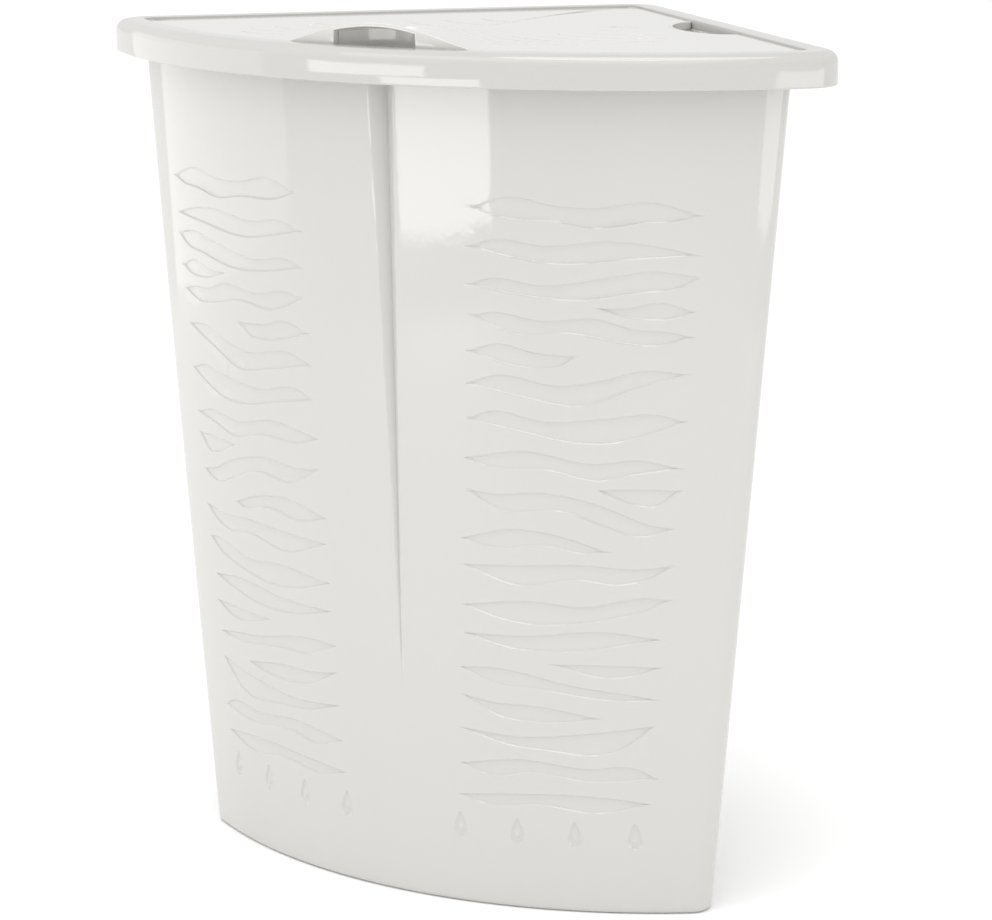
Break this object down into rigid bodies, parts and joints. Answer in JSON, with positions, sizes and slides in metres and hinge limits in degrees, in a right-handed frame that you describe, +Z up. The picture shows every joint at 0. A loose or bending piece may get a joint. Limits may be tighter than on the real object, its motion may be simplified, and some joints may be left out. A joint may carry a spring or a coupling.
{
  "type": "laundry hamper with lid",
  "caption": "Corner laundry hamper: tapered moulded tub with recessed leaf-shaped waves on its bowed front, a top collar and a hinged inset lid with a hooded hand opening.",
  "frame": {"origin": "on the floor under the tub's flat base, on the plane of the base, midway between the two back walls", "axes": "+Z up; the bowed front faces -Y; the back corner points along +Y; the two straight back walls face (+X+Y) and (-X+Y)"},
  "size_m": [0.5426, 0.3958, 0.5884],
  "materials": {
    "tub_plastic": "glossy off-white moulded polypropylene",
    "collar_plastic": "glossy off-white moulded polypropylene",
    "lid_plastic": "glossy off-white moulded polypropylene",
    "pin_plastic": "smooth off-white acetal"
  },
  "bodies": {
    "frame": {"tub": "tub_plastic", "rim_collar": "collar_plastic", "hinge_pin_back": "pin_plastic", "hinge_pin_front": "pin_plastic"},
    "lid": {"lid": "lid_plastic"}
  },
  "joints": [
    {"name": "lid_hinge", "type": "hinge", "parent": "frame", "child": "lid", "pos_m": [-0.11017, 0.11017, 0.569], "axis": [-0.7071, -0.7071, 0], "range_deg": [0, 95]}
  ]
}
